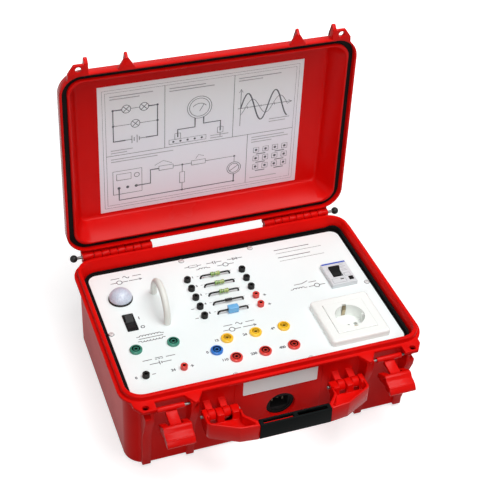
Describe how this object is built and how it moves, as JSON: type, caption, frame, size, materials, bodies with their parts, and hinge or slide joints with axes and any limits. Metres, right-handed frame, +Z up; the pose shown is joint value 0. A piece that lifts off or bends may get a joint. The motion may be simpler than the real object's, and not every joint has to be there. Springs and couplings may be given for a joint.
{
  "type": "electrical demonstration case",
  "caption": "Hinged hard case with a bench panel of sockets, switches, sample components and a mains outlet, two draw latches and a folding carrying handle.",
  "frame": {"origin": "on the floor, at the middle of the lower shell's underside", "axes": "+X to the viewer's right, -Y towards the front with the handle and latches, +Z up, lid open"},
  "size_m": [0.398, 0.3805, 0.417],
  "materials": {
    "case_red": "fine moulded texture",
    "lid_red": "satin inside, moulded texture outside",
    "handle_red": "satin",
    "panel_white": "satin",
    "edge_black": "matte",
    "black_plastic": "satin",
    "red_plastic": "satin",
    "green_plastic": "satin",
    "yellow_plastic": "satin",
    "blue_plastic": "satin",
    "white_plastic": "satin",
    "grey_plastic": "satin",
    "lens_plastic": "glossy, translucent",
    "resistor_green": "satin",
    "capacitor_blue": "glossy",
    "marking_blue": "satin",
    "grip_black": "matte",
    "seal_rubber": "matte",
    "steel": "satin",
    "plated_sleeve": "plated",
    "label_grey": "satin",
    "sheet_print": "semi-gloss",
    "core_steel": "dull",
    "winding_tape": "satin",
    "board_green": "satin"
  },
  "bodies": {
    "case": {"base_shell": "case_red", "label_plate": "label_grey", "front_panel": "panel_white", "panel_edge_strip": "edge_black", "panel_screws": "steel", "black_jacks": "black_plastic", "red_jacks": "red_plastic", "jack_sleeves": "plated_sleeve", "green_sockets": "green_plastic", "yellow_sockets": "yellow_plastic", "blue_socket": "blue_plastic", "red_sockets": "red_plastic", "socket_sleeves": "plated_sleeve", "socket_nuts": "white_plastic", "component_leads": "black_plastic", "resistors": "resistor_green", "diode": "black_plastic", "capacitor": "capacitor_blue", "lamp_bezel": "black_plastic", "lamp_lens": "lens_plastic", "current_loop": "white_plastic", "rocker_frame": "black_plastic", "rcd_body": "grey_plastic", "rcd_marking_strip": "marking_blue", "mounting_rail": "steel", "inner_supports": "steel", "outlet_frame": "white_plastic", "outlet_insert": "white_plastic", "earth_clips": "steel", "outlet_terminals": "grey_plastic", "inlet_body": "black_plastic", "inlet_pins": "steel", "transformer_core": "core_steel", "transformer_winding": "winding_tape", "transformer_bracket": "steel", "circuit_board": "board_green", "board_parts": "black_plastic", "inner_leads": "black_plastic", "latch_pins": "steel", "handle_pins": "steel"},
    "lid": {"lid_shell": "lid_red", "lid_seal": "seal_rubber", "instruction_sheet": "sheet_print"},
    "hinge_pin_left": {"hinge_pin_left": "steel", "hinge_knob_left": "black_plastic"},
    "hinge_pin_right": {"hinge_pin_right": "steel", "hinge_knob_right": "black_plastic"},
    "latch_link_left": {"latch_link_left": "handle_red", "lever_pin_left": "steel"},
    "latch_link_right": {"latch_link_right": "handle_red", "lever_pin_right": "steel"},
    "latch_lever_left": {"latch_lever_left": "handle_red"},
    "latch_lever_right": {"latch_lever_right": "handle_red"},
    "handle": {"handle_frame": "handle_red", "handle_grip": "grip_black"},
    "rocker": {"rocker_button": "black_plastic"},
    "toggle": {"rcd_toggle": "black_plastic"},
    "test_button": {"rcd_test_button": "black_plastic"}
  },
  "joints": [
    {"name": "lid_hinge", "type": "hinge", "parent": "case", "child": "lid", "pos_m": [0, 0.146, 0.114], "axis": [1, 0, 0], "range_deg": [0, 90]},
    {"name": "hinge_pin_left_slide", "type": "slide", "parent": "case", "child": "hinge_pin_left", "axis": [-1, 0, 0], "range_m": [0, 0.09]},
    {"name": "hinge_pin_right_slide", "type": "slide", "parent": "case", "child": "hinge_pin_right", "axis": [1, 0, 0], "range_m": [0, 0.09]},
    {"name": "latch_link_left_pivot", "type": "hinge", "parent": "case", "child": "latch_link_left", "pos_m": [-0.1425, -0.143, 0.103], "axis": [-1, 0, 0], "range_deg": [0, 88]},
    {"name": "latch_lever_left_pivot", "type": "hinge", "parent": "latch_link_left", "child": "latch_lever_left", "pos_m": [-0.1425, -0.167, 0.094], "axis": [1, 0, 0], "range_deg": [0, 130]},
    {"name": "latch_link_right_pivot", "type": "hinge", "parent": "case", "child": "latch_link_right", "pos_m": [0.1425, -0.143, 0.103], "axis": [-1, 0, 0], "range_deg": [0, 88]},
    {"name": "latch_lever_right_pivot", "type": "hinge", "parent": "latch_link_right", "child": "latch_lever_right", "pos_m": [0.1425, -0.167, 0.094], "axis": [1, 0, 0], "range_deg": [0, 130]},
    {"name": "handle_pivot", "type": "hinge", "parent": "case", "child": "handle", "pos_m": [0, -0.1505, 0.0825], "axis": [1, 0, 0], "range_deg": [-35, 65]},
    {"name": "rocker_pivot", "type": "hinge", "parent": "case", "child": "rocker", "pos_m": [-0.149, 0.014, 0.102], "axis": [-1, 0, 0], "range_deg": [0, 18]},
    {"name": "toggle_pivot", "type": "hinge", "parent": "case", "child": "toggle", "pos_m": [0.1415, 0.025, 0.101], "axis": [1, 0, 0], "range_deg": [0, 70]},
    {"name": "test_button_press", "type": "slide", "parent": "case", "child": "test_button", "axis": [0, 0, -1], "range_m": [0, 0.002], "stiffness_N_per_m": 250, "springref_m": -0.001}
  ]
}
